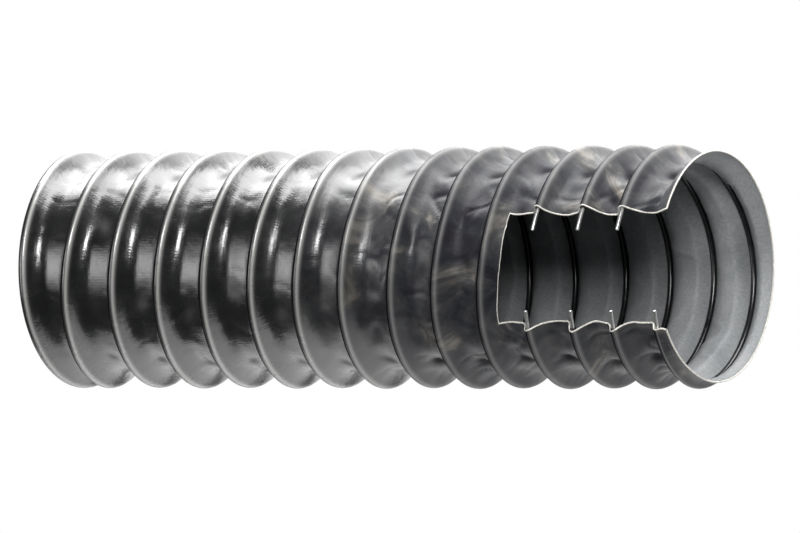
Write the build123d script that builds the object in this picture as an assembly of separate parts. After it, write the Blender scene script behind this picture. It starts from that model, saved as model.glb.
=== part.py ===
from build123d import *
import math
import os

# Flexible air duct: a coated spring-steel wire helix inside a helically lapped, coated-fabric skin.
# Axis along +X from the inlet end (origin, centre of the inlet opening) to the outlet end, +Z up.
# The wire helix is left-handed: X grows going top, back (+Y), bottom, front (-Y), top.
# A cutaway window in the front (-Y) is open to the outlet end.

# ---- driving dimensions, mm ----
LENGTH = 500.0              # inlet end plane to outlet end plane
PITCH = 35.5                # axial distance between wire turns, duct drawn out
COIL_R = 78.6               # radius of the wire's centre line
WIRE_D = 2.9                # bare spring-steel wire
COATING_IN_R = 1.5          # inside of the black coating, bonded on the wire
COATING_OUT_R = 2.0         # outside of the black coating
SKIN_T = 0.5                # skin thickness
SKIN_OVER_WIRE_R = 2.8      # skin's outer radius about the wire's centre, at the crest
TROUGH_R = 70.5             # skin's outer radius at the trough's shoulders
TROUGH_SAG_R = 70.0         # skin's outer radius in the middle of the trough
TROUGH_SHOULDER = 8.4       # axial distance from the wire to the trough's shoulder
FLANK_MID = 4.6             # axial distance from the wire to the flank's middle
FLANK_MID_R = 74.2          # skin's outer radius at the flank's middle
CUFF_IN_R = 76.5            # inside of the outlet cuff; the turned-in inlet cuff is CUFF_T less
CUFF_T = 0.5
INLET_CUFF_L = 8.0          # length of the turned-in inlet cuff
INLET_HEM_L = 5.2           # length of the hem over the end ring
END_RING_X = 2.7            # flat end ring of wire, from the inlet end plane
TURN_0_X = 10.5             # the helix's start at the top
TURNS = 14                  # turns of the helix, numbered 00 to 13
OUTLET_CUFF_L = 7.5         # smooth run-out of the skin at the outlet end
WINDOW_HALF = 30.0          # half angle of the cutaway window about the front, degrees
FIRST_CUT_TURN = 10         # the first turn that the window cuts through
STUB_LOW = 9.0              # bare wire past the skin's lower window edge, degrees
STUB_HIGH = 11.0            # bare wire past the skin's upper window edge, degrees
END_GAP = 0.8               # gap between the ends of neighbouring lengths of one helix
EDGE_GAP = 0.3              # gap between neighbouring strips at the crest

# ---- derived ----
LOW = 0.75 - WINDOW_HALF / 360.0     # window's lower edge, in turns from the top
HIGH = -0.25 + WINDOW_HALF / 360.0   # window's upper edge, counted back from the next top
HALF_GAP = END_GAP / 2 / (2 * math.pi * COIL_R)
LEAD = math.atan(PITCH / (2 * math.pi * COIL_R))

# local frame: helix about Z, starting on +X  ->  duct frame: axis +X, start at the top (+Z)
FRAME = Plane(origin=(0, 0, 0), x_dir=(0, 0, 1), z_dir=(1, 0, 0))


def top_x(turn):
    """Where a turn of the helix starts, at the top."""
    return TURN_0_X + PITCH * turn


def place(shape, turn, start):
    """A local sweep that begins `start` turns after the top of a turn, in the duct's frame."""
    return FRAME * (Pos(0, 0, top_x(turn) + PITCH * start) * (Rot(0, 0, -360 * start) * shape))


def helix(start, end):
    return Helix(pitch=PITCH, height=PITCH * (end - start), radius=COIL_R,
                 center=(0, 0, 0), direction=(0, 0, 1), lefthand=True)


def section_plane(path):
    """Across the wire: x along the duct, y outward."""
    tangent = path % 0
    outward = Vector(1, 0, 0)
    along = tangent.cross(outward)
    if along.Z < 0:
        along = along * -1
    return Plane(origin=path @ 0, x_dir=along, z_dir=along.cross(outward))


def swept(profile, turn, start, end):
    path = helix(start, end)
    return place(sweep(section_plane(path) * profile, path=path, is_frenet=True), turn, start)


def strip_profile():
    """One strip of skin from crest to crest, in (along, outward) from midway between two wires."""
    width = PITCH * math.cos(LEAD)
    out, inn = SKIN_OVER_WIRE_R, SKIN_OVER_WIRE_R - SKIN_T
    g, wrap = EDGE_GAP / 2, math.radians(78)
    fall = (math.cos(wrap), -math.sin(wrap))
    rise = (math.cos(wrap), math.sin(wrap))

    def on(r, angle):
        return (r * math.sin(angle), r * math.cos(angle))

    def mirrored(p):
        return (width - p[0], p[1])

    o0, o1, o2 = (g, math.sqrt(out * out - g * g)), on(out, wrap / 2), on(out, wrap)
    i0, i1, i2 = (g, math.sqrt(inn * inn - g * g)), on(inn, wrap / 2), on(inn, wrap)
    flank = (FLANK_MID, FLANK_MID_R - COIL_R)
    shoulder = (TROUGH_SHOULDER, TROUGH_R - COIL_R)
    middle = (width / 2, TROUGH_SAG_R - COIL_R)
    flank_in = (flank[0] - 0.74 * SKIN_T, flank[1] - 0.67 * SKIN_T)
    shoulder_in = (shoulder[0] - 0.24 * SKIN_T, shoulder[1] - SKIN_T)
    middle_in = (middle[0], middle[1] - SKIN_T)
    edges = [
        ThreePointArc(i0, i1, i2),
        Spline(i2, flank_in, shoulder_in, middle_in, mirrored(shoulder_in), mirrored(flank_in),
               mirrored(i2), tangents=(fall, rise)),
        ThreePointArc(mirrored(i2), mirrored(i1), mirrored(i0)),
        Line(mirrored(i0), mirrored(o0)),
        ThreePointArc(mirrored(o0), mirrored(o1), mirrored(o2)),
        Spline(mirrored(o2), mirrored(flank), mirrored(shoulder), middle, shoulder, flank, o2,
               tangents=((-rise[0], -rise[1]), (-fall[0], -fall[1]))),
        ThreePointArc(o2, o1, o0),
        Line(o0, i0),
    ]
    return Pos(-width / 2, 0) * make_face(edges)


def run_out_profile():
    """The skin right of the last wire: crest, a short flank, then straight along the duct."""
    out, inn = SKIN_OVER_WIRE_R, SKIN_OVER_WIRE_R - SKIN_T
    g, wrap = EDGE_GAP / 2, math.radians(60)
    low = CUFF_IN_R + CUFF_T - COIL_R

    def on(r, angle):
        return (r * math.sin(angle), r * math.cos(angle))

    o0, o1, o2 = (g, math.sqrt(out * out - g * g)), on(out, wrap / 2), on(out, wrap)
    i0, i1, i2 = (g, math.sqrt(inn * inn - g * g)), on(inn, wrap / 2), on(inn, wrap)
    fall = (math.cos(wrap), -math.sin(wrap))
    edges = [
        ThreePointArc(i0, i1, i2),
        Spline(i2, (4.9, low - CUFF_T), tangents=(fall, (1, 0))),
        Line((4.9, low - CUFF_T), (30.0, low - CUFF_T)),
        Line((30.0, low - CUFF_T), (30.0, low)),
        Line((30.0, low), (5.2, low)),
        Spline((5.2, low), o2, tangents=((-1, 0), (-fall[0], -fall[1]))),
        ThreePointArc(o2, o1, o0),
        Line(o0, i0),
    ]
    return make_face(edges)


def revolved(points, x0=0.0, sweep_deg=360.0, start_deg=0.0):
    """A band turned about the duct's axis from (along, radius) points, starting `start_deg`
    back from the top, towards the back (+Y)."""
    face = make_face(Polyline(*[(p[1], 0, p[0] + x0) for p in points], close=True))
    band = revolve(face, axis=Axis.Z, revolution_arc=sweep_deg)
    return FRAME * (Rot(0, 0, -start_deg - sweep_deg) * band)


parts = {}

# the flat end ring: wire and coating, closed
parts["end_ring_wire"] = FRAME * (Pos(0, 0, END_RING_X) * Torus(COIL_R, WIRE_D / 2))
parts["end_ring_coating"] = FRAME * (Pos(0, 0, END_RING_X) * (Torus(COIL_R, COATING_OUT_R) - Torus(COIL_R, COATING_IN_R)))

# the helix, one length to each turn
for n in range(TURNS):
    cut_before, cut_after = n > FIRST_CUT_TURN, n >= FIRST_CUT_TURN
    c0 = HIGH if cut_before else HALF_GAP
    c1 = LOW if cut_after else 1 - HALF_GAP
    w0 = HIGH - STUB_HIGH / 360 if cut_before else HALF_GAP
    w1 = LOW + STUB_LOW / 360 if cut_after else 1 - HALF_GAP
    parts[f"wire_turn_{n:02d}"] = swept(Circle(WIRE_D / 2), n, w0, w1)
    parts[f"coating_turn_{n:02d}"] = swept(Circle(COATING_OUT_R) - Circle(COATING_IN_R), n, c0, c1)

# the skin, one strip to each turn: from the wire turn before it to its own, swept midway between
strip = strip_profile()
for n in range(TURNS):
    cut_before, cut_after = n > FIRST_CUT_TURN, n >= FIRST_CUT_TURN
    s0 = HIGH if cut_before else HALF_GAP
    s1 = LOW if cut_after else 1 - HALF_GAP
    body = swept(strip, n - 0.5, s0, s1)
    if n == 0:
        keep = Pos(INLET_CUFF_L + 0.3 + 50, 0, 0) * Box(100, 400, 400)
        body = body & keep
    parts[f"skin_turn_{n:02d}"] = body

# the run-out right of the last turn
run_end = LENGTH - OUTLET_CUFF_L - 0.3
keep = Pos(run_end - 50, 0, 0) * Box(100, 400, 400)
parts["skin_run_out"] = swept(run_out_profile(), TURNS - 1, HIGH, 0.5) & keep

# inlet cuff: turned in, with a hem over the end ring
hem_r = COIL_R + SKIN_OVER_WIRE_R
parts["skin_cuff_inlet"] = revolved([
    (0, CUFF_IN_R - CUFF_T), (INLET_CUFF_L, CUFF_IN_R - CUFF_T), (INLET_CUFF_L, CUFF_IN_R),
    (CUFF_T, CUFF_IN_R), (CUFF_T, hem_r - SKIN_T), (INLET_HEM_L, hem_r - SKIN_T),
    (INLET_HEM_L, hem_r), (0, hem_r)])

# outlet cuff: a smooth band, open at the window
parts["skin_cuff_outlet"] = revolved([
    (0, CUFF_IN_R), (OUTLET_CUFF_L, CUFF_IN_R), (OUTLET_CUFF_L, CUFF_IN_R + CUFF_T), (0, CUFF_IN_R + CUFF_T)],
    x0=LENGTH - OUTLET_CUFF_L, sweep_deg=(0.46 - HIGH) * 360, start_deg=HIGH * 360)

os.makedirs("parts", exist_ok=True)
for name, shape in parts.items():
    export_step(shape, f"parts/{name}.step")
    box = shape.bounding_box()
    print(f"{name:20s} volume {shape.volume:9.1f}  x {box.min.X:7.2f} {box.max.X:7.2f}  valid {shape.is_valid}")
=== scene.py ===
import bpy
import bmesh
import math
import numpy as np
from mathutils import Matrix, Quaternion, Vector


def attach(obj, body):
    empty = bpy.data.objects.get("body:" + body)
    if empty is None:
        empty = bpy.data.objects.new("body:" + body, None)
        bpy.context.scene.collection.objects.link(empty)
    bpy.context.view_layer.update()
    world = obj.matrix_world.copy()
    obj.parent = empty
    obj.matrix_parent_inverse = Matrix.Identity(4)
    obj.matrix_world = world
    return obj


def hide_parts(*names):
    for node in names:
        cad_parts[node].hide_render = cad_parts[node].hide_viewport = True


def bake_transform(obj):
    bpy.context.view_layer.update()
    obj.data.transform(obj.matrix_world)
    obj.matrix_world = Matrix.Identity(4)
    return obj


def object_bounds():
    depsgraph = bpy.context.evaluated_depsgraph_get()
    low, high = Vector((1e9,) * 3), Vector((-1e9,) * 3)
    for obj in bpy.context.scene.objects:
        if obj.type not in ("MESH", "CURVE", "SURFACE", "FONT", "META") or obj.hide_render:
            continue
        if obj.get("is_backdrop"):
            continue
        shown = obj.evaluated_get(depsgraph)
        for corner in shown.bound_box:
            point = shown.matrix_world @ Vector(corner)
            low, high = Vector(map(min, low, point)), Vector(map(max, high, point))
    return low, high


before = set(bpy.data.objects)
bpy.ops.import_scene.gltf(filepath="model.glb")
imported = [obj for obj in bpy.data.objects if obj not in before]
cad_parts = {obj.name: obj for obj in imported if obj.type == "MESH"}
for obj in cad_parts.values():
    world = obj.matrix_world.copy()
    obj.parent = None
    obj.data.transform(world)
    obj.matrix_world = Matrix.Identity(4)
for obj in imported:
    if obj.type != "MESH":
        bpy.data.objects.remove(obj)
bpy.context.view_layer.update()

# ------------------------------------------------------------------ sizes, metres
LENGTH = 0.500
PITCH = 0.0355
TURN_0 = 0.0105
COIL_R = 0.0786
RING_X = 0.0027
SKIN_T = 0.0008
CREST = 0.0028            # skin's outer radius about the wire's centre
TROUGH_R = 0.0703
FLANK = 0.0090            # axial reach of a flank
RIM_R = 0.0772
COAT_R = 0.0020
WIRE_R = 0.00128
AROUND = 270              # samples to a turn
LOW_J, HIGH_J = 179, 225  # the window's lower and upper edges, in samples past the top
CUT_TURN = 10             # the first strip that the window cuts
SECTIONS = 14
rng = np.random.default_rng(7)


def smooth(v):
    v = np.clip(v, 0.0, 1.0)
    return v * v * (3 - 2 * v)


# the real wire's turns are a little uneven: how far each lies from an even helix at the top, mm
UNEVEN = np.array([-7.8, -1.2, 0.9, 0.0, 2.7, 4.2, 3.1, 2.7, 6.6, 2.7, 4.5, 3.5, 2.4, -3.5, -3.0, -3.0]) / 1000


# and how far each leans forward at the front, mm
LEAN = np.array([3.0, 1.6, 3.2, 1.4, 2.2, 3.4, 3.8, 3.6, 5.4, 4.2, 4.2, 4.2, 4.4, 1.0, 0.0]) / 1000


def crest_x(tau):
    """Axial position of the wire after tau turns from the helix's start at the top."""
    tau = np.asarray(tau, float)
    k = np.clip(np.floor(tau).astype(int), 0, len(UNEVEN) - 2)
    t = tau - k
    d = UNEVEN[k] + (UNEVEN[k + 1] - UNEVEN[k]) * smooth(t)
    lean = 0.006 * smooth((tau - 8.2) / 2) * np.clip(np.sin(2 * np.pi * tau), 0, 1) ** 2
    lean = lean + LEAN[np.clip(k, 0, len(LEAN) - 1)] * np.exp(-((t - 0.80) / 0.115) ** 2)
    return TURN_0 + PITCH * tau + d + lean


# ------------------------------------------------------------------ wrinkles in the skin
waves = []
for _ in range(46):
    lam = rng.uniform(0.022, 0.075)
    ang = rng.normal(0.0, 0.75)
    kx = 2 * np.pi / lam * math.sin(ang)
    n = round(2 * np.pi / lam * math.cos(ang) * 0.075)
    waves.append((n, kx, rng.uniform(0, 2 * np.pi), lam))


def noise(theta, x, pick=slice(None)):
    out = np.zeros_like(x)
    some = waves[pick]
    for n, kx, ph, lam in some:
        out += np.cos(n * theta + kx * x + ph) * (lam / 0.045)
    return out / math.sqrt(len(some))


# puckers near the top and the bottom of the troughs: (turn, angle, depth mm, reach along, reach around deg, skew)
puckers = []
for k in range(0, 15):
    strong = 2.1 if k >= 8 else 0.7
    puckers += [
        (k, -24 + rng.uniform(-5, 5), 1.5 * strong, 0.0055, 8.0, rng.uniform(-0.6, 0.6)),
        (k, -38 + rng.uniform(-6, 6), -0.9 * strong, 0.0065, 7.0, rng.uniform(-0.6, 0.6)),
        (k, -155 + rng.uniform(-5, 5), 1.5 * strong, 0.0055, 8.0, rng.uniform(-0.6, 0.6)),
        (k, -142 + rng.uniform(-6, 6), -0.8 * strong, 0.0065, 7.0, rng.uniform(-0.6, 0.6)),
        (k, rng.uniform(10, 170), 1.0 * strong, 0.006, 8.0, rng.uniform(-0.6, 0.6)),
        (k, rng.uniform(-120, -60), 0.8, 0.006, 9.0, rng.uniform(-0.8, 0.8)),
    ]
    if k >= 7:
        puckers += [(k, rng.uniform(-130, -50), rng.choice([1.5, -1.2]), 0.0045, 7.0, rng.uniform(-1.2, 1.2)) for _ in range(4)]


def wrinkles(theta, x, tau):
    """Radial offset, metres. theta from the top towards the back."""
    right = smooth((x - 0.20) / 0.16)
    amp = 0.00024 + 0.00046 * right
    w = noise(theta, x)
    fold = noise(theta, x * 1.0, slice(0, 20))
    crease = np.exp(-(fold / 0.22) ** 2)
    out = amp * w - (0.00018 + 0.00065 * right) * crease
    deg = np.degrees(np.arctan2(np.sin(theta), np.cos(theta)))
    for k, at, depth, along, around, skew in puckers:
        mid = (crest_x(k - 1 + at / 360 + (1 if at < 0 else 0)) + crest_x(k + at / 360 + (1 if at < 0 else 0))) / 2 if k >= 1 else None
        if mid is None:
            continue
        da = (deg - at) / around
        dx = (x - mid) / along + skew * da
        out -= depth / 1000 * np.exp(-(da ** 2) - dx ** 2)
    return out


# ------------------------------------------------------------------ the skin, as one grid along the helical strip
left_s = np.array([0, .55, 1.1, 1.6, 2.0, 2.35, 2.8, 3.4, 4.1, 4.9, 5.8, 6.9, 8.2, 9.6]) / 1000
right_s = np.array([9.0, 7.9, 6.8, 5.8, 4.9, 4.2, 3.6, 3.1, 2.7, 2.35, 2.0, 1.75, 1.5, 1.25, 1.0, .7, .35, 0]) / 1000
MID = 6


def bump(a, reach=FLANK, ease=1.1):
    """Height of the skin over the trough, from 1 at the crest to 0 at the flank's foot."""
    top = COIL_R + CREST - TROUGH_R
    a = np.asarray(a, float)
    near = (COIL_R + np.sqrt(np.clip(CREST ** 2 - np.minimum(a, 0.00235) ** 2, 0, None)) - TROUGH_R)
    a0, a1 = 0.00235, reach
    h0 = COIL_R + math.sqrt(CREST ** 2 - a0 ** 2) - TROUGH_R
    m0 = -a0 / math.sqrt(CREST ** 2 - a0 ** 2) * ease
    u = np.clip((a - a0) / (a1 - a0), 0, 1)
    far = (2 * u ** 3 - 3 * u ** 2 + 1) * h0 + (u ** 3 - 2 * u ** 2 + u) * (a1 - a0) * m0
    return np.where(a <= a0, near, far) / top


n_tau = 14 * AROUND + LOW_J
J = np.arange(n_tau + 1)
tau = J / AROUND
theta = 2 * np.pi * tau
xl = np.where(tau < 1, RING_X, crest_x(np.maximum(tau - 1, 0)))
xr = crest_x(tau)
is_rim = tau > 13.75
xr = np.where(is_rim, LENGTH, xr)
w = np.maximum(xr - xl, 1e-5)
need = 0.0215
g = np.minimum(1.0, w / need)                       # narrow stretches keep the same shape, smaller
cols = []
for a in left_s:
    cols.append(a * g)
for m in range(1, MID + 1):
    lo, hi = left_s[-1] * g, w - right_s[0] * g
    cols.append(lo + (hi - lo) * m / (MID + 1))
for b in right_s:
    cols.append(w - b * g)
A = np.stack(cols, 1)                               # distance from the left crest
B = w[:, None] - A
N = A.shape[1] - 1
depth = (COIL_R + CREST - TROUGH_R) * smooth((w - 0.002) / 0.022)
level = COIL_R + CREST - depth                      # the trough's radius here
X = xl[:, None] + A
G = g[:, None]
hL = bump(A / G, 0.0155, 1.0) * depth[:, None]
hR = bump(B / G) * depth[:, None]
rim_rise = np.maximum(RIM_R - level, 0)[:, None] * smooth(1 - B / (0.013 * G)) * 1.0
hR = np.where(is_rim[:, None], rim_rise, hR)
# narrow run-out: the rim stays round
R = level[:, None] + (hL ** 3 + hR ** 3) ** (1 / 3)
b_mm = B / G * 1000
lap = np.where(is_rim[:, None], 0.0, 1.0) * smooth((w - 0.006) / 0.012)[:, None]
under = np.where(b_mm > 1.25, np.exp(-((b_mm - 1.25) / 2.6) ** 2), 0.0) * 0.00030
groove = np.exp(-((b_mm - 1.35) / 0.42) ** 2) * 0.00050
R = R - lap * (under + groove)
span = np.minimum(smooth((A / G - 0.0028) / 0.006), smooth((B / G - 0.0034) / 0.006))
sag = 0.0004 * span
TH = np.repeat(theta[:, None], N + 1, 1)
TT = np.repeat(tau[:, None], N + 1, 1)
R = R - sag + wrinkles(TH, X, TT) * span * smooth((w - 0.006) / 0.02)[:, None]
# a little unevenness in the wire's own roundness
R = R + 0.00025 * np.cos(3 * TH + 9 * X * 10) * smooth(X / 0.05) * smooth((LENGTH - X) / 0.05)

# the window's cut edges wander a little
def edge_wander(th_edge, x, seed):
    r = np.random.default_rng(seed)
    out = np.zeros_like(x)
    for _ in range(5):
        out += r.uniform(-1, 1) * np.sin(x * 2 * np.pi / r.uniform(0.012, 0.06) + r.uniform(0, 6))
    return out * math.radians(0.55)

frac = J % AROUND
th_mod = 2 * np.pi * frac / AROUND
cut_zone = smooth((X - 0.36) / 0.01)
for edge_j, seed in ((LOW_J, 3), (HIGH_J, 5)):
    d = (frac - edge_j) / AROUND * 360
    d = np.where(d > 180, d - 360, d)
    d = np.where(d < -180, d + 360, d)
    near = np.exp(-(d / 5.0) ** 2)[:, None]
    TH = TH + edge_wander(0, X, seed) * near * cut_zone * smooth((X - 0.372) / 0.01)

P = np.stack([X, R * np.sin(TH), R * np.cos(TH)], -1)

# which cells are there
cell = np.ones((n_tau, N), bool)
mid_frac = (J[:-1] % AROUND)
in_window = (mid_frac >= LOW_J) & (mid_frac < HIGH_J)
strip_no = J[:-1] // AROUND
WIN_COL = 13                                        # the window's left edge runs down this line of the flank
for j in range(n_tau):
    if in_window[j]:
        if strip_no[j] == CUT_TURN:
            cell[j, WIN_COL:] = False
        elif strip_no[j] > CUT_TURN:
            cell[j, :] = False


def grid_normals(P, wrap_next=True):
    """Smooth normals of the strip, shared across its laps."""
    du = np.zeros_like(P)
    du[1:-1] = P[2:] - P[:-2]
    du[0] = P[1] - P[0]
    du[-1] = P[-1] - P[-2]
    dv = np.zeros_like(P)
    dv[:, 1:-1] = P[:, 2:] - P[:, :-2]
    dv[:, 0] = P[:, 1] - P[:, 0]
    dv[:, -1] = P[:, -1] - P[:, -2]
    n = np.cross(dv, du)
    rad = np.stack([np.zeros_like(P[..., 0]), P[..., 1], P[..., 2]], -1)
    flip = np.sign((n * rad).sum(-1, keepdims=True))
    flip[flip == 0] = 1
    n = n * flip
    return n / np.maximum(np.linalg.norm(n, axis=-1, keepdims=True), 1e-12)


NRM = grid_normals(P)
# at the crest both strips share one normal, straight out
radial = np.stack([np.zeros_like(TH), np.sin(TH), np.cos(TH)], -1)
for c in (0, N):
    keep = is_rim if c == N else np.zeros(n_tau + 1, bool)
    NRM[:, c] = np.where(keep[:, None], NRM[:, c], radial[:, c])
PIN = P - NRM * SKIN_T
# the inner face's radius from the axis
rin = np.hypot(PIN[..., 1], PIN[..., 2])

# uv: metres along the strip and along the duct
U = np.repeat((tau * 2 * np.pi * COIL_R)[:, None], N + 1, 1)
V = X.copy()


class Soup:
    """Vertices with their own normals, uvs and material numbers."""

    def __init__(self):
        self.v, self.n, self.uv, self.f, self.m, self.k = [], [], [], [], [], []
        self.count = 0

    def grid(self, P, Nn, U, V, mask, mat, flip=False, painted_light_marks=None):
        h, k = P.shape[:2]
        self.k.append(np.zeros((h * k, 3)) if painted_light_marks is None else painted_light_marks.reshape(-1, 3))
        base = self.count
        self.v.append(P.reshape(-1, 3))
        self.n.append((-Nn if flip else Nn).reshape(-1, 3))
        self.uv.append(np.stack([U.ravel(), V.ravel()], -1))
        self.count += h * k
        i, j = np.nonzero(mask)
        a = base + i * k + j
        b, c, d = a + 1, a + k + 1, a + k
        q = np.stack([a, b, c, d], -1)
        pf, nf = P.reshape(-1, 3), self.n[-1]
        geo = np.cross(pf[c - base] - pf[a - base], pf[d - base] - pf[b - base])
        turn = (geo * (nf[a - base] + nf[b - base] + nf[c - base] + nf[d - base])).sum(-1) < 0
        q = np.where(turn[:, None], q[:, ::-1], q)
        self.f.append(q)
        self.m.append(np.full(len(q), mat))

    def done(self):
        return (np.concatenate(self.v), np.concatenate(self.n), np.concatenate(self.uv),
                np.concatenate(self.f), np.concatenate(self.m), np.concatenate(self.k))


# material numbers: inside, cut edge, painted crest shadow, then the outside in four finishes from gloss to dull
INNER, EDGE, CREST_SHADOW, OUTER = 0, 1, 2, 3
skin = Soup()
a_mm, b_mm2 = A / G * 1000, B / G * 1000
# a near-black band along each crest's left side, over the lap edge: painted shadow
crest_shadow_mask = np.exp(-((b_mm2 - 1.2) / 1.4) ** 4) * np.where(is_rim, 0.0, 1.0)[:, None]
# a pale line on each crest's right shoulder: painted highlight
painted_crest_highlight = np.exp(-((a_mm - 1.9) / 0.9) ** 2)
# dark in the puckers' hollows: painted shade
painted_pucker_shade = np.zeros_like(X)
lit = np.zeros_like(X)
deg_all = np.degrees(np.arctan2(np.sin(TH), np.cos(TH)))
for k, at, dep, along, around, skew in puckers:
    if k == 0:
        continue
    far_turn = k - 1 + at / 360 + (1 if at < 0 else 0)
    mid = (crest_x(far_turn) + crest_x(far_turn + 1)) / 2
    da = (deg_all - at) / around
    dx = (X - mid) / along + skew * da
    shape = np.exp(-((da / 0.6) ** 2) - (dx / 0.8) ** 2)
    if dep > 0:
        painted_pucker_shade = np.maximum(painted_pucker_shade, shape * min(dep / 2.0, 1.0))
    lit = np.maximum(lit, np.exp(-(((da + 1.2) / 0.8) ** 2) - ((dx - 0.3) / 1.1) ** 2) * min(abs(dep) / 2.0, 1.0))
# three painted-light masks per vertex: crest shadow, crest highlight, pucker shade
painted_light_marks = np.stack([crest_shadow_mask, painted_crest_highlight, painted_pucker_shade], -1)
# cells in that band get the near-black material: painted shadow
in_crest_shadow = np.zeros_like(cell)
b_cell = (b_mm2[:-1, :-1] + b_mm2[1:, 1:]) / 2
in_crest_shadow = (b_cell > 0.3) & (b_cell < 2.5) & ~is_rim[:-1, None] & (w[:-1, None] > 0.008)
finish = np.digitize(strip_no, [7, 8, 9])[:, None]
skin.grid(P, NRM, U, V, cell & in_crest_shadow, CREST_SHADOW, flip=False, painted_light_marks=painted_light_marks)
for i in range(4):
    skin.grid(P, NRM, U, V, cell & ~in_crest_shadow & (finish == i), OUTER + i, flip=False, painted_light_marks=painted_light_marks)
skin.grid(PIN, NRM, U, V, cell, INNER, flip=True)


def ribbon(soup, p_out, p_in, mat, u, v, outward):
    """The raw cut edge between the outer and the inner face."""
    up = (p_out - p_in) / SKIN_T
    c = (p_out + p_in) / 2
    Pg, Ng = [], []
    for q in np.linspace(-2.3, 2.3, 7):
        d = outward * math.cos(q) + up * math.sin(q)
        Pg.append(c + d * 0.00056 - outward * 0.00012)
        Ng.append(d)
    Pg, Ng = np.stack(Pg, 1), np.stack(Ng, 1)
    Ng /= np.maximum(np.linalg.norm(Ng, axis=-1, keepdims=True), 1e-9)
    Ug = np.repeat(u[:, None], 7, 1)
    Vg = np.stack([v + 0.0003 * i for i in range(7)], 1)
    m = np.ones((len(p_out) - 1, 6), bool)
    # one grid; its winding follows the normals
    soup.grid(Pg, Ng, Ug, Vg, m, mat)


# window edges across each strip
for k in range(CUT_TURN, 15):
    jl = k * AROUND + LOW_J
    if jl <= n_tau:
        lo_c = WIN_COL if k == CUT_TURN else 0
        s = slice(lo_c, N + 1)
        t = np.stack([np.zeros(N + 1), np.cos(TH[jl]), -np.sin(TH[jl])], -1)[s]
        ribbon(skin, P[jl, s], PIN[jl, s], EDGE, V[jl, s], U[jl, s], t)
    jh = k * AROUND + HIGH_J
    if jh <= n_tau:
        lo_c = WIN_COL if k == CUT_TURN else 0
        s = slice(lo_c, N + 1)
        t = -np.stack([np.zeros(N + 1), np.cos(TH[jh]), -np.sin(TH[jh])], -1)[s]
        ribbon(skin, P[jh, s], PIN[jh, s], EDGE, V[jh, s], U[jh, s], t)
# the window's left edge
s = slice(CUT_TURN * AROUND + LOW_J, CUT_TURN * AROUND + HIGH_J + 1)
t = np.repeat([[1.0, 0, 0]], s.stop - s.start, 0)
ribbon(skin, P[s, WIN_COL], PIN[s, WIN_COL], EDGE, U[s, WIN_COL], V[s, WIN_COL], t)
# the rim
rim_j = [j for j in J if is_rim[j] and not ((j % AROUND) > LOW_J and (j % AROUND) < HIGH_J)]
first = 13 * AROUND + HIGH_J
s = slice(first, n_tau + 1)
t = np.repeat([[1.0, 0, 0]], s.stop - s.start, 0)
ribbon(skin, P[s, N], PIN[s, N], EDGE, U[s, N], V[s, N], t)

# the turned-in hem over the end ring, and the cuff inside it
hj = np.arange(AROUND + 1)
hth = 2 * np.pi * hj / AROUND
hem = []
for q in np.linspace(0, math.pi, 13):
    hem.append((RING_X - 0.0027 * math.sin(q), COIL_R + 0.0001 + 0.0027 * math.cos(q), (-math.sin(q), math.cos(q))))
for x in np.linspace(0.0034, 0.0062, 4):
    hem.append((x, COIL_R - 0.0026 - 0.0004 * (x - 0.0034) / 0.0028, (0.0, -1.0)))
hem.append((0.0065, COIL_R - 0.0026, (0.8, -0.6)))
hem.append((0.0065, COIL_R - 0.0021, (1.0, 0.2)))
Ph = np.array([[(x, r * math.sin(a), r * math.cos(a)) for x, r, _ in hem] for a in hth])
Nh = np.array([[(nx, nr * math.sin(a), nr * math.cos(a)) for _, _, (nx, nr) in hem] for a in hth])
Uh = np.repeat((hth * COIL_R)[:, None], len(hem), 1)
Vh = np.repeat(np.cumsum([0.0] + [0.0008] * (len(hem) - 1))[None], len(hth), 0)
# the hem's left-facing cells get the near-black material: painted shadow
left_facing = np.repeat(np.array([i in (2, 3, 4, 5, 6) for i in range(len(hem) - 1)])[None], AROUND, 0)
skin.grid(Ph, Nh, Uh, Vh, left_facing, CREST_SHADOW, flip=False)
skin.grid(Ph, Nh, Uh, Vh, ~left_facing, OUTER, flip=False)

# ------------------------------------------------------------------ the wire and its coating


def tube(soup, t0, t1, radius, segs, mat, step=2, cap=False):
    js = np.unique(np.concatenate([[t0], np.arange(math.ceil(t0 * AROUND / step) * step, t1 * AROUND, step) / AROUND, [t1]]))
    th = 2 * np.pi * js
    c = np.stack([crest_x(js), COIL_R * np.sin(th), COIL_R * np.cos(th)], -1)
    rad = np.stack([np.zeros_like(th), np.sin(th), np.cos(th)], -1)
    tan = np.gradient(c, axis=0)
    tan /= np.linalg.norm(tan, axis=1, keepdims=True)
    side = np.cross(tan, rad)
    ph = np.linspace(0, 2 * np.pi, segs + 1)
    n = rad[:, None] * np.cos(ph)[None, :, None] + side[:, None] * np.sin(ph)[None, :, None]
    Pt = c[:, None] + radius * n
    Ut = np.repeat((js * 2 * np.pi * COIL_R)[:, None], segs + 1, 1)
    Vt = np.repeat((ph * radius)[None], len(js), 0)
    soup.grid(Pt, n, Ut, Vt, np.ones((len(js) - 1, segs), bool), mat)
    if cap:
        for e, sgn in ((0, -1), (-1, 1)):
            rings = [(0.0, 1.0), (0.35, 0.93), (0.7, 0.7), (0.92, 0.38), (1.0, 0.001)]
            Pc = np.stack([c[e] + sgn * tan[e] * radius * 0.55 * h + radius * q * n[e] for h, q in rings], 0)
            Nc = np.stack([sgn * tan[e] * (h + 0.02) + n[e] * q for h, q in rings], 0)
            Nc /= np.linalg.norm(Nc, axis=-1, keepdims=True)
            soup.grid(Pc, Nc, np.repeat(Ut[e][None], 5, 0), np.repeat(Vt[e][None], 5, 0), np.ones((4, segs), bool), mat)


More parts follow.
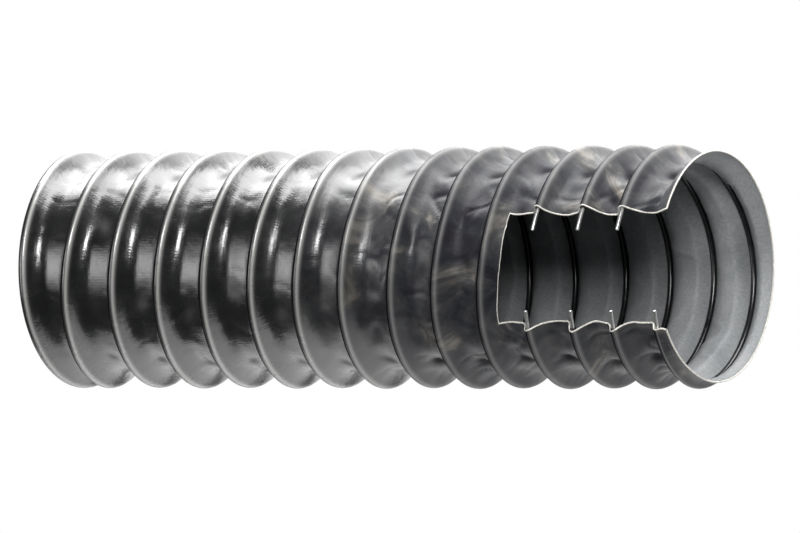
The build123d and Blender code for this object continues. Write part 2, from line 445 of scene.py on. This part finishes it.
LOWF, HIGHF = LOW_J / AROUND, HIGH_J / AROUND
coat, wire = Soup(), Soup()
tube(coat, 0.03, CUT_TURN + LOWF + 0.001, COAT_R, 18, 0, cap=False)
tube(wire, 0.0, CUT_TURN + LOWF + 9.5 / 360, WIRE_R, 14, 0, cap=True)
for k in range(CUT_TURN, 13):
    tube(coat, k + HIGHF - 0.001, k + 1 + LOWF + 0.001, COAT_R, 18, 0)
    tube(wire, k + HIGHF - 11.5 / 360, k + 1 + LOWF + 9.5 / 360, WIRE_R, 14, 0, cap=True)


# ------------------------------------------------------------------ cut at the middle of each section


def plane_x(k):
    return TURN_0 + PITCH * (k + 0.5)


def make_piece(name, soup, lo, hi, mats):
    v, n, uv, f, m, mk = soup
    fx = v[f, 0]
    keep = np.ones(len(f), bool)
    if lo is not None:
        keep &= fx.max(1) > lo
    if hi is not None:
        keep &= fx.min(1) < hi
    f, m = f[keep], m[keep]
    if not len(f):
        return None
    used, inv = np.unique(f, return_inverse=True)
    f = inv.reshape(f.shape)
    v, n, uv, mk = v[used], n[used], uv[used], mk[used]
    me = bpy.data.meshes.new(name)
    me.from_pydata(v.tolist(), [], f.tolist())
    at = me.attributes.new("rest_n", "FLOAT_VECTOR", "POINT")
    at.data.foreach_set("vector", n.astype(np.float32).ravel())
    au = me.attributes.new("rest_uv", "FLOAT_VECTOR", "POINT")
    uv3 = np.concatenate([uv, np.zeros((len(uv), 1))], 1)
    au.data.foreach_set("vector", uv3.astype(np.float32).ravel())
    ak = me.attributes.new("painted_light_marks", "FLOAT_VECTOR", "POINT")
    ak.data.foreach_set("vector", mk.astype(np.float32).ravel())
    me.polygons.foreach_set("material_index", m.astype(np.int32))
    bm = bmesh.new()
    bm.from_mesh(me)
    # zero-area faces at the start of the wedge go
    bad = [q for q in bm.faces if q.calc_area() < 1e-12]
    bmesh.ops.delete(bm, geom=bad, context="FACES")
    for cut, sign in ((lo, 1), (hi, -1)):
        if cut is None:
            continue
        geom = bm.verts[:] + bm.edges[:] + bm.faces[:]
        bmesh.ops.bisect_plane(bm, geom=geom, dist=1e-9, plane_co=(cut, 0, 0), plane_no=(1, 0, 0),
                               clear_inner=sign > 0, clear_outer=sign < 0)
    loose = [q for q in bm.verts if not q.link_faces]
    bmesh.ops.delete(bm, geom=loose, context="VERTS")
    bm.to_mesh(me)
    bm.free()
    nn = np.zeros(len(me.vertices) * 3, np.float32)
    me.attributes["rest_n"].data.foreach_get("vector", nn)
    uu = np.zeros(len(me.vertices) * 3, np.float32)
    me.attributes["rest_uv"].data.foreach_get("vector", uu)
    nn = nn.reshape(-1, 3)
    uu = uu.reshape(-1, 3)
    nn /= np.maximum(np.linalg.norm(nn, axis=1, keepdims=True), 1e-9)
    lay = me.uv_layers.new(name="UVMap")
    li = np.zeros(len(me.loops), np.int32)
    me.loops.foreach_get("vertex_index", li)
    lay.data.foreach_set("uv", uu[li, :2].astype(np.float32).ravel())
    me.polygons.foreach_set("use_smooth", np.ones(len(me.polygons), bool))
    for mt in mats:
        me.materials.append(mt)
    me.normals_split_custom_set_from_vertices(nn.tolist())
    me.attributes.remove(me.attributes["rest_n"])
    me.attributes.remove(me.attributes["rest_uv"])
    ob = bpy.data.objects.new(name, me)
    bpy.context.scene.collection.objects.link(ob)
    return ob


# ------------------------------------------------------------------ materials


def new_mat(name):
    mt = bpy.data.materials.new(name)
    mt.use_nodes = True
    nt = mt.node_tree
    return mt, nt, nt.nodes["Principled BSDF"]


def node(nt, kind, **inputs):
    nd = nt.nodes.new(kind)
    for k, val in inputs.items():
        nd.inputs[k].default_value = val
    return nd


def ramp(nt, stops, interp="LINEAR"):
    nd = nt.nodes.new("ShaderNodeValToRGB")
    nd.color_ramp.interpolation = interp
    e = nd.color_ramp.elements
    e[0].position, e[0].color = stops[0][0], (*stops[0][1], 1)
    e[1].position, e[1].color = stops[-1][0], (*stops[-1][1], 1)
    for p, c in stops[1:-1]:
        x = e.new(p)
        x.color = (*c, 1)
    return nd


def mix(nt, kind="MIX", fac=0.5):
    nd = nt.nodes.new("ShaderNodeMix")
    nd.data_type = "RGBA"
    nd.blend_type = kind
    nd.inputs["Factor"].default_value = fac
    return nd


def uv_nodes(nt):
    tc = nt.nodes.new("ShaderNodeTexCoord")
    sp = nt.nodes.new("ShaderNodeSeparateXYZ")
    nt.links.new(tc.outputs["UV"], sp.inputs[0])
    return tc.outputs["UV"], sp.outputs["X"], sp.outputs["Y"]


def weave(nt, uv, size):
    """Fine cloth: two crossed sets of yarns."""
    out = []
    for axis in ("X", "Y"):
        wv = nt.nodes.new("ShaderNodeTexWave")
        wv.wave_type = "BANDS"
        wv.bands_direction = axis
        wv.wave_profile = "SIN"
        wv.inputs["Scale"].default_value = 1 / size / 2 * 0.32
        wv.inputs["Distortion"].default_value = 0.6
        wv.inputs["Detail"].default_value = 1.0
        wv.inputs["Detail Scale"].default_value = 1.5
        nt.links.new(uv, wv.inputs["Vector"])
        out.append(wv.outputs["Fac"])
    mx = nt.nodes.new("ShaderNodeMath")
    mx.operation = "MAXIMUM"
    nt.links.new(out[0], mx.inputs[0])
    nt.links.new(out[1], mx.inputs[1])
    return mx.outputs[0]


def skin_outer(name, gloss):
    mt, nt, p = new_mat(name)
    uv, u, v = uv_nodes(nt)
    L = nt.links.new
    # the finish goes from near-black gloss at the inlet end to a bloomed blue-grey at the cut end, whose cream patches
    # are painted highlights
    mr = node(nt, "ShaderNodeMapRange")
    mr.interpolation_type = "SMOOTHSTEP"
    mr.inputs["From Min"].default_value = 0.17
    mr.inputs["From Max"].default_value = 0.33
    L(v, mr.inputs["Value"])
    n1 = node(nt, "ShaderNodeTexNoise", Scale=38.0, Detail=6.0, Roughness=0.62)
    n2 = node(nt, "ShaderNodeTexNoise", Scale=26.0, Detail=5.0, Roughness=0.6, Distortion=1.2)
    n3 = node(nt, "ShaderNodeTexNoise", Scale=420.0, Detail=3.0, Roughness=0.6)
    for n in (n1, n2, n3):
        L(uv, n.inputs["Vector"])
    dark = ramp(nt, [(0.32, (0.0020, 0.0021, 0.0023)), (0.62, (0.0055, 0.0058, 0.006)), (0.8, (0.012, 0.012, 0.012))])
    L(n1.outputs["Fac"], dark.inputs["Fac"])
    # blue-grey bloom that varies at random; its cream top end is painted highlight streaks
    bloom_and_painted_highlights = ramp(nt, [(0.34, (0.006, 0.0042, 0.0085)), (0.47, (0.016, 0.017, 0.022)), (0.58, (0.040, 0.040, 0.041)), (0.70, (0.16, 0.147, 0.127))])
    L(n2.outputs["Fac"], bloom_and_painted_highlights.inputs["Fac"])
    m1 = mix(nt)
    L(mr.outputs["Result"], m1.inputs["Factor"])
    L(dark.outputs["Color"], m1.inputs["A"])
    L(bloom_and_painted_highlights.outputs["Color"], m1.inputs["B"])
    speck = ramp(nt, [(0.0, (0.86, 0.86, 0.86)), (0.62, (1, 1, 1)), (0.9, (1.5, 1.48, 1.42))])
    L(n3.outputs["Fac"], speck.inputs["Fac"])
    m2 = mix(nt, "MULTIPLY", 1.0)
    L(m1.outputs["Result"], m2.inputs["A"])
    L(speck.outputs["Color"], m2.inputs["B"])
    at = nt.nodes.new("ShaderNodeAttribute")
    at.attribute_name = "painted_light_marks"
    sm = nt.nodes.new("ShaderNodeSeparateXYZ")
    L(at.outputs["Vector"], sm.inputs[0])
    # the Y channel mixes pale grey in along each crest, more at the glossy inlet end: painted highlight
    pm = nt.nodes.new("ShaderNodeMath")
    pm.operation = "MULTIPLY"
    pf = node(nt, "ShaderNodeMapRange")
    pf.inputs["To Min"].default_value = 0.95
    pf.inputs["To Max"].default_value = 0.30
    L(mr.outputs["Result"], pf.inputs["Value"])
    L(sm.outputs["Y"], pm.inputs[0])
    L(pf.outputs["Result"], pm.inputs[1])
    m3 = mix(nt)
    m3.inputs["B"].default_value = (0.36, 0.355, 0.345, 1)
    L(pm.outputs[0], m3.inputs["Factor"])
    L(m2.outputs["Result"], m3.inputs["A"])
    # the X and Z channels turn the base near-black and rougher: painted shadow left of each crest and painted shade in
    # the puckers
    dm = nt.nodes.new("ShaderNodeMath")
    dm.operation = "MAXIMUM"
    L(sm.outputs["X"], dm.inputs[0])
    L(sm.outputs["Z"], dm.inputs[1])
    m4 = mix(nt)
    m4.inputs["B"].default_value = (0.0035, 0.0025, 0.005, 1)
    L(dm.outputs[0], m4.inputs["Factor"])
    L(m3.outputs["Result"], m4.inputs["A"])
    L(m4.outputs["Result"], p.inputs["Base Color"])
    ro = node(nt, "ShaderNodeMapRange")
    ro.inputs["To Min"].default_value = 0.22
    ro.inputs["To Max"].default_value = 0.40
    L(mr.outputs["Result"], ro.inputs["Value"])
    rr = node(nt, "ShaderNodeMapRange")
    rr.inputs["From Min"].default_value = 0.3
    rr.inputs["From Max"].default_value = 0.7
    rr.inputs["To Min"].default_value = -0.07
    rr.inputs["To Max"].default_value = 0.12
    L(n1.outputs["Fac"], rr.inputs["Value"])
    ad = nt.nodes.new("ShaderNodeMath")
    L(ro.outputs["Result"], ad.inputs[0])
    L(rr.outputs["Result"], ad.inputs[1])
    ms2 = nt.nodes.new("ShaderNodeMath")
    ms2.operation = "MULTIPLY_ADD"
    ms2.inputs[1].default_value = 0.8
    L(dm.outputs[0], ms2.inputs[0])
    L(ad.outputs[0], ms2.inputs[2])
    L(ms2.outputs[0], p.inputs["Roughness"])
    p.inputs["IOR"].default_value = 1.55
    p.inputs["Specular IOR Level"].default_value = gloss
    p.inputs["Sheen Weight"].default_value = 0.05
    # crinkles, then the weave under the coating
    b1 = node(nt, "ShaderNodeBump", Strength=0.55, Distance=0.0012)
    L(n1.outputs["Fac"], b1.inputs["Height"])
    b2 = node(nt, "ShaderNodeBump", Strength=0.10, Distance=0.0003)
    L(weave(nt, uv, 0.0011), b2.inputs["Height"])
    L(b1.outputs["Normal"], b2.inputs["Normal"])
    L(b2.outputs["Normal"], p.inputs["Normal"])
    return mt


def skin_inner():
    mt, nt, p = new_mat("coated_fabric_inside")
    uv, u, v = uv_nodes(nt)
    L = nt.links.new
    n1 = node(nt, "ShaderNodeTexNoise", Scale=26.0, Detail=5.0, Roughness=0.6)
    n2 = node(nt, "ShaderNodeTexNoise", Scale=600.0, Detail=2.0, Roughness=0.5)
    L(uv, n1.inputs["Vector"])
    L(uv, n2.inputs["Vector"])
    c = ramp(nt, [(0.25, (0.17, 0.178, 0.185)), (0.5, (0.235, 0.243, 0.25)), (0.75, (0.29, 0.298, 0.303))])
    L(n1.outputs["Fac"], c.inputs["Fac"])
    sp = ramp(nt, [(0.3, (0.85, 0.85, 0.85)), (0.7, (1.12, 1.12, 1.12))])
    L(n2.outputs["Fac"], sp.inputs["Fac"])
    m = mix(nt, "MULTIPLY", 1.0)
    L(c.outputs["Color"], m.inputs["A"])
    L(sp.outputs["Color"], m.inputs["B"])
    L(m.outputs["Result"], p.inputs["Base Color"])
    p.inputs["Roughness"].default_value = 0.55
    p.inputs["Specular IOR Level"].default_value = 0.35
    b1 = node(nt, "ShaderNodeBump", Strength=0.25, Distance=0.001)
    L(n1.outputs["Fac"], b1.inputs["Height"])
    b2 = node(nt, "ShaderNodeBump", Strength=0.12, Distance=0.0003)
    L(weave(nt, uv, 0.0011), b2.inputs["Height"])
    L(b1.outputs["Normal"], b2.inputs["Normal"])
    L(b2.outputs["Normal"], p.inputs["Normal"])
    return mt


def cut_edge():
    mt, nt, p = new_mat("raw_cut_edge")
    uv, u, v = uv_nodes(nt)
    L = nt.links.new
    n1 = node(nt, "ShaderNodeTexNoise", Scale=700.0, Detail=3.0, Roughness=0.7)
    L(uv, n1.inputs["Vector"])
    c = ramp(nt, [(0.3, (0.33, 0.31, 0.28)), (0.5, (0.60, 0.58, 0.53)), (0.7, (0.80, 0.78, 0.72))])
    L(n1.outputs["Fac"], c.inputs["Fac"])
    L(c.outputs["Color"], p.inputs["Base Color"])
    p.inputs["Roughness"].default_value = 0.8
    b1 = node(nt, "ShaderNodeBump", Strength=0.4, Distance=0.0004)
    L(n1.outputs["Fac"], b1.inputs["Height"])
    L(b1.outputs["Normal"], p.inputs["Normal"])
    return mt


def black_coating():
    mt, nt, p = new_mat("wire_coating_black")
    tc = nt.nodes.new("ShaderNodeTexCoord")
    L = nt.links.new
    n1 = node(nt, "ShaderNodeTexNoise", Scale=160.0, Detail=4.0, Roughness=0.6)
    L(tc.outputs["Object"], n1.inputs["Vector"])
    c = ramp(nt, [(0.3, (0.004, 0.004, 0.0045)), (0.7, (0.012, 0.012, 0.013))])
    L(n1.outputs["Fac"], c.inputs["Fac"])
    L(c.outputs["Color"], p.inputs["Base Color"])
    r = node(nt, "ShaderNodeMapRange")
    r.inputs["To Min"].default_value = 0.14
    r.inputs["To Max"].default_value = 0.34
    L(n1.outputs["Fac"], r.inputs["Value"])
    L(r.outputs["Result"], p.inputs["Roughness"])
    p.inputs["IOR"].default_value = 1.5
    b = node(nt, "ShaderNodeBump", Strength=0.12, Distance=0.0004)
    L(n1.outputs["Fac"], b.inputs["Height"])
    L(b.outputs["Normal"], p.inputs["Normal"])
    return mt


def spring_steel():
    mt, nt, p = new_mat("spring_steel_bright")
    tc = nt.nodes.new("ShaderNodeTexCoord")
    L = nt.links.new
    n1 = node(nt, "ShaderNodeTexNoise", Scale=900.0, Detail=3.0, Roughness=0.6)
    L(tc.outputs["Object"], n1.inputs["Vector"])
    c = ramp(nt, [(0.3, (0.58, 0.58, 0.57)), (0.7, (0.86, 0.86, 0.84))])
    L(n1.outputs["Fac"], c.inputs["Fac"])
    L(c.outputs["Color"], p.inputs["Base Color"])
    p.inputs["Metallic"].default_value = 1.0
    r = node(nt, "ShaderNodeMapRange")
    r.inputs["To Min"].default_value = 0.2
    r.inputs["To Max"].default_value = 0.42
    L(n1.outputs["Fac"], r.inputs["Value"])
    L(r.outputs["Result"], p.inputs["Roughness"])
    b = node(nt, "ShaderNodeBump", Strength=0.08, Distance=0.0002)
    L(n1.outputs["Fac"], b.inputs["Height"])
    L(b.outputs["Normal"], p.inputs["Normal"])
    return mt


# near-black and dull: painted shadow along each crest's left side and on the hem's left side
def seam_sealant():
    mt, nt, p = new_mat("painted_crest_shadow_black")
    uv, u, v = uv_nodes(nt)
    n1 = node(nt, "ShaderNodeTexNoise", Scale=90.0, Detail=3.0, Roughness=0.6)
    nt.links.new(uv, n1.inputs["Vector"])
    c = ramp(nt, [(0.3, (0.0015, 0.0014, 0.0018)), (0.7, (0.005, 0.0048, 0.006))])
    nt.links.new(n1.outputs["Fac"], c.inputs["Fac"])
    nt.links.new(c.outputs["Color"], p.inputs["Base Color"])
    p.inputs["Roughness"].default_value = 0.75
    p.inputs["Specular IOR Level"].default_value = 0.08
    return mt


M_OUT = [skin_outer("coated_fabric_outside_" + n, g) for n, g in (("a", 0.85), ("b", 0.62), ("c", 0.36), ("d", 0.20))]
M_IN, M_EDGE, M_CREST_SHADOW, M_COAT, M_STEEL = skin_inner(), cut_edge(), seam_sealant(), black_coating(), spring_steel()

# ------------------------------------------------------------------ the pieces
sets = {"skin": (skin.done(), [M_IN, M_EDGE, M_CREST_SHADOW] + M_OUT, "skin"),
        "coating": (coat.done(), [M_COAT], "wire_coating"),
        "wire": (wire.done(), [M_STEEL], "spring_steel")}
cad = {"skin": "skin_turn_{:02d}", "coating": "coating_turn_{:02d}", "wire": "wire_turn_{:02d}"}
for kind, (soup, mats, slot) in sets.items():
    for k in range(SECTIONS + 1):
        lo = plane_x(k - 1) if k else None
        hi = plane_x(k) if k < SECTIONS else None
        ob = make_piece(f"{kind}_part_{k:02d}", soup, lo, hi, mats)
        if ob is None:
            continue
        if k == 0:
            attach(ob, "section_00")
        elif k == SECTIONS:
            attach(ob, f"section_{SECTIONS - 1:02d}")
        else:
            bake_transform(ob)
        names = [cad[kind].format(k)] if k < SECTIONS else []
        if kind == "skin" and k == 0:
            names.append("skin_cuff_inlet")
        if kind == "skin" and k == SECTIONS:
            names += ["skin_run_out", "skin_cuff_outlet"]
        if names:
            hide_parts(*names)
for n, mt in (("end_ring_wire", M_STEEL), ("end_ring_coating", M_COAT)):
    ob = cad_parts[n]
    for s in ob.material_slots:
        s.material = mt
    if not ob.material_slots:
        ob.data.materials.append(mt)

# ------------------------------------------------------------------ camera, floor and light
AZ = math.radians(31.0)
back = Vector((math.sin(AZ), -math.cos(AZ), 0))
aim = Vector((0.2544, 0, 0.0008))
cam_data = bpy.data.cameras.new("camera")
cam_data.sensor_width = 36
cam_data.lens = 587.7
cam_data.clip_end = 200
cam = bpy.data.objects.new("camera", cam_data)
cam.location = aim + back * 8.8
cam.rotation_mode = "QUATERNION"
cam.rotation_quaternion = (-back).to_track_quat("-Z", "Y") @ Quaternion((0, 0, 1), math.radians(-0.22))
bpy.context.scene.collection.objects.link(cam)
bpy.context.scene.camera = cam

floor_me = bpy.data.meshes.new("floor")
FZ = -0.95
edge = [Vector((x, y, FZ)) for x, y in ((-1.5, -0.14), (1.7, -0.14), (1.7, 1.7), (-1.5, 1.7))]
floor_me.from_pydata([tuple(q) for q in edge], [], [(0, 1, 2, 3)])
floor = bpy.data.objects.new("floor", floor_me)
fm, fnt, fp = new_mat("floor_pale")
fn = node(fnt, "ShaderNodeTexNoise", Scale=3.0, Detail=2.0)
fr = ramp(fnt, [(0.3, (0.80, 0.80, 0.80)), (0.7, (0.84, 0.84, 0.84))])
fnt.links.new(fn.outputs["Fac"], fr.inputs["Fac"])
fnt.links.new(fr.outputs["Color"], fp.inputs["Base Color"])
fp.inputs["Roughness"].default_value = 0.9
floor_me.materials.append(fm)
bpy.context.scene.collection.objects.link(floor)
floor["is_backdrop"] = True


def area(name, loc, aim_at, sx, sy, power, color=(1, 1, 1)):
    ld = bpy.data.lights.new(name, "AREA")
    ld.shape = "RECTANGLE"
    ld.size, ld.size_y = sx, sy
    ld.energy = power
    ld.color = color
    ob = bpy.data.objects.new(name, ld)
    ob.location = loc
    ob.rotation_mode = "QUATERNION"
    ob.rotation_quaternion = (Vector(aim_at) - Vector(loc)).to_track_quat("-Z", "Y")
    ob.visible_camera = False
    bpy.context.scene.collection.objects.link(ob)
    return ob


c0 = Vector((0.25, 0, 0))
side = Vector((math.cos(AZ), math.sin(AZ), 0))
def panel(name, d, dist, sx, sy, radiance, color=(1, 1, 1)):
    """A softbox seen from the duct in direction d, with a given radiance."""
    d = Vector(d).normalized()
    area(name, c0 + d * dist, c0, sx, sy, radiance * math.pi * sx * sy, color)


# what the polished skin mirrors: a broad box overhead, reaching down behind
panel("overhead", (0.02, 0.16, 0.98), 1.7, 3.3, 1.3, 9.5)
panel("behind_high", (0.0, 0.80, 0.56), 2.3, 3.8, 1.3, 4.6)
panel("behind_low", (0.0, 0.98, 0.14), 2.6, 4.4, 1.0, 0.9)
panel("behind_foot", (0.0, 0.96, -0.22), 2.6, 4.4, 0.5, 1.7)
# panels in front on the left, one inside another for a soft edge
panel("front_left_a", (-0.50, -0.84, 0.02), 2.66, 2.1, 2.1, 1.0)
panel("front_left_b", (-0.50, -0.84, 0.02), 2.6, 1.5, 1.5, 1.4)
panel("front_left_c", (-0.50, -0.84, 0.02), 2.5, 0.8, 0.9, 2.2)
# the key for the window and the open end, from the right and a little above
panel("key", (0.54, -0.76, 0.36), 2.4, 0.7, 0.8, 24.0)

world = bpy.data.worlds.new("world")
bpy.context.scene.world = world
world.use_nodes = True
wn = world.node_tree
bgn = wn.nodes["Background"]
bgn.inputs["Color"].default_value = (0.86, 0.88, 0.9, 1)
bgn.inputs["Strength"].default_value = 0.10
bg2 = wn.nodes.new("ShaderNodeBackground")
bg2.inputs["Color"].default_value = (1, 1, 1, 1)
bg2.inputs["Strength"].default_value = 1.0
lp = wn.nodes.new("ShaderNodeLightPath")
ms = wn.nodes.new("ShaderNodeMixShader")
wn.links.new(lp.outputs["Is Camera Ray"], ms.inputs[0])
wn.links.new(bgn.outputs[0], ms.inputs[1])
wn.links.new(bg2.outputs[0], ms.inputs[2])
wn.links.new(ms.outputs[0], wn.nodes["World Output"].inputs["Surface"])
bpy.context.scene.view_settings.view_transform = "Standard"
bpy.context.scene.view_settings.look = "None"

lo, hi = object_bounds()
